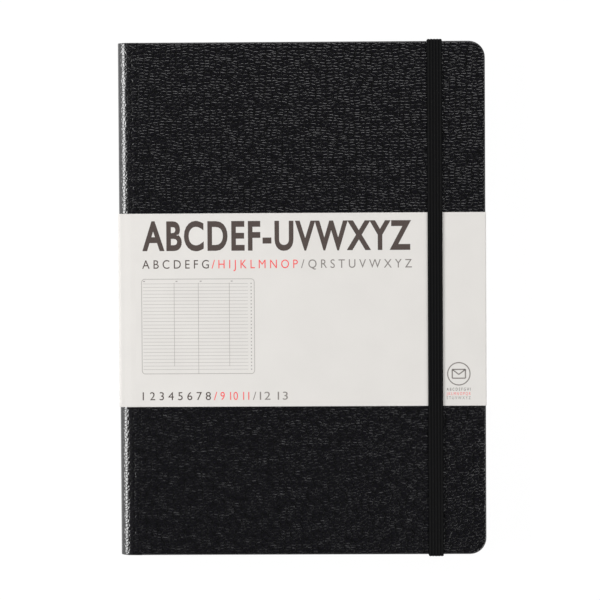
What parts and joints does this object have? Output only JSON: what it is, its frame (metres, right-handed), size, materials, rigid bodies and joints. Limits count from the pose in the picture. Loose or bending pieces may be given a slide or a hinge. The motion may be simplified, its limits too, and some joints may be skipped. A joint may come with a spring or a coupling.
{
  "type": "address book",
  "caption": "Hardback address book in black leatherette with a stepped A to Z register, an elastic closure and a paper band.",
  "frame": {"origin": "centre of the bounding box at its base, on the plane that the closed book lies on", "axes": "+Y towards the head, +X towards the fore-edge, +Z out of the front cover"},
  "size_m": [0.1504, 0.2118, 0.0185],
  "materials": {
    "leatherette": "fine pressed grain, satin",
    "grey_board": "bare grey binder's board",
    "endpaper": "uncoated cream paper",
    "page_paper": "uncoated cream writing paper",
    "band_paper": "uncoated warm grey paper",
    "elastic": "ribbed woven elastic",
    "black_cloth": "fine woven cloth",
    "gauze": "starched open gauze"
  },
  "bodies": {
    "root": {"back_board": "grey_board", "spine_and_back_skin": "leatherette", "spine_inlay": "grey_board", "back_pastedown": "endpaper", "pocket_panel": "endpaper", "pocket_gusset_head": "black_cloth", "pocket_gusset_tail": "black_cloth", "paper_band_spine_and_back": "band_paper", "glued_gutter": "page_paper", "spine_mull": "gauze", "headband_head": "black_cloth", "headband_tail": "black_cloth", "back_flyleaf": "endpaper", "leaves_j": "page_paper", "leaves_k": "page_paper", "leaves_l": "page_paper", "leaves_m": "page_paper", "leaves_n": "page_paper", "leaves_o": "page_paper", "leaves_p": "page_paper", "leaves_q": "page_paper", "leaves_r": "page_paper", "leaves_s": "page_paper", "leaves_t": "page_paper", "leaves_u": "page_paper", "leaves_v": "page_paper", "leaves_w": "page_paper", "leaves_x": "page_paper", "leaves_y": "page_paper", "leaves_z": "page_paper"},
    "front_cover": {"front_board": "grey_board", "front_cover_skin": "leatherette", "front_pastedown": "endpaper", "paper_band_front": "band_paper"},
    "flyleaf": {"front_flyleaf": "endpaper"},
    "section_a": {"leaves_a": "page_paper"},
    "section_b": {"leaves_b": "page_paper"},
    "section_c": {"leaves_c": "page_paper"},
    "section_d": {"leaves_d": "page_paper"},
    "section_e": {"leaves_e": "page_paper"},
    "section_f": {"leaves_f": "page_paper"},
    "section_g": {"leaves_g": "page_paper"},
    "section_h": {"leaves_h": "page_paper"},
    "section_i": {"leaves_i": "page_paper"},
    "elastic": {"elastic_closure": "elastic"}
  },
  "joints": [
    {"name": "front_cover_hinge", "type": "hinge", "parent": "root", "child": "front_cover", "pos_m": [-0.07, 0, 0.0181], "axis": [0, -1, 0], "range_deg": [0, 187]},
    {"name": "flyleaf_turn", "type": "hinge", "parent": "front_cover", "child": "flyleaf", "pos_m": [-0.07, 0, 0.0181], "axis": [0, 1, 0], "range_deg": [0, 93.6]},
    {"name": "section_a_turn", "type": "hinge", "parent": "root", "child": "section_a", "pos_m": [-0.07, 0, 0.0181], "axis": [0, -1, 0], "range_deg": [0, 93.6]},
    {"name": "section_b_turn", "type": "hinge", "parent": "root", "child": "section_b", "pos_m": [-0.07, 0, 0.0181], "axis": [0, -1, 0], "range_deg": [0, 74.9]},
    {"name": "section_c_turn", "type": "hinge", "parent": "root", "child": "section_c", "pos_m": [-0.07, 0, 0.0181], "axis": [0, -1, 0], "range_deg": [0, 58]},
    {"name": "section_d_turn", "type": "hinge", "parent": "root", "child": "section_d", "pos_m": [-0.07, 0, 0.0181], "axis": [0, -1, 0], "range_deg": [0, 42.1]},
    {"name": "section_e_turn", "type": "hinge", "parent": "root", "child": "section_e", "pos_m": [-0.07, 0, 0.0181], "axis": [0, -1, 0], "range_deg": [0, 28.1]},
    {"name": "section_f_turn", "type": "hinge", "parent": "root", "child": "section_f", "pos_m": [-0.07, 0, 0.0181], "axis": [0, -1, 0], "range_deg": [0, 16.9]},
    {"name": "section_g_turn", "type": "hinge", "parent": "root", "child": "section_g", "pos_m": [-0.07, 0, 0.0181], "axis": [0, -1, 0], "range_deg": [0, 9.4]},
    {"name": "section_h_turn", "type": "hinge", "parent": "root", "child": "section_h", "pos_m": [-0.07, 0, 0.0181], "axis": [0, -1, 0], "range_deg": [0, 4.7]},
    {"name": "section_i_turn", "type": "hinge", "parent": "root", "child": "section_i", "pos_m": [-0.07, 0, 0.0181], "axis": [0, -1, 0], "range_deg": [0, 1.9]},
    {"name": "elastic_off", "type": "slide", "parent": "root", "child": "elastic", "axis": [0.8422, 0, -0.5392], "range_m": [0, 0.0293], "deforming": ["elastic_closure"]}
  ],
  "couplings": [
    {"joint": "flyleaf_turn", "follows": "front_cover_hinge", "ratio": 0.5},
    {"joint": "section_a_turn", "follows": "front_cover_hinge", "ratio": 0.5},
    {"joint": "section_b_turn", "follows": "front_cover_hinge", "ratio": 0.4},
    {"joint": "section_c_turn", "follows": "front_cover_hinge", "ratio": 0.31},
    {"joint": "section_d_turn", "follows": "front_cover_hinge", "ratio": 0.225},
    {"joint": "section_e_turn", "follows": "front_cover_hinge", "ratio": 0.15},
    {"joint": "section_f_turn", "follows": "front_cover_hinge", "ratio": 0.09},
    {"joint": "section_g_turn", "follows": "front_cover_hinge", "ratio": 0.05},
    {"joint": "section_h_turn", "follows": "front_cover_hinge", "ratio": 0.025},
    {"joint": "section_i_turn", "follows": "front_cover_hinge", "ratio": 0.01},
    {"joint": "elastic_off", "follows": "front_cover_hinge", "m_per_rad": 0.00895}
  ]
}
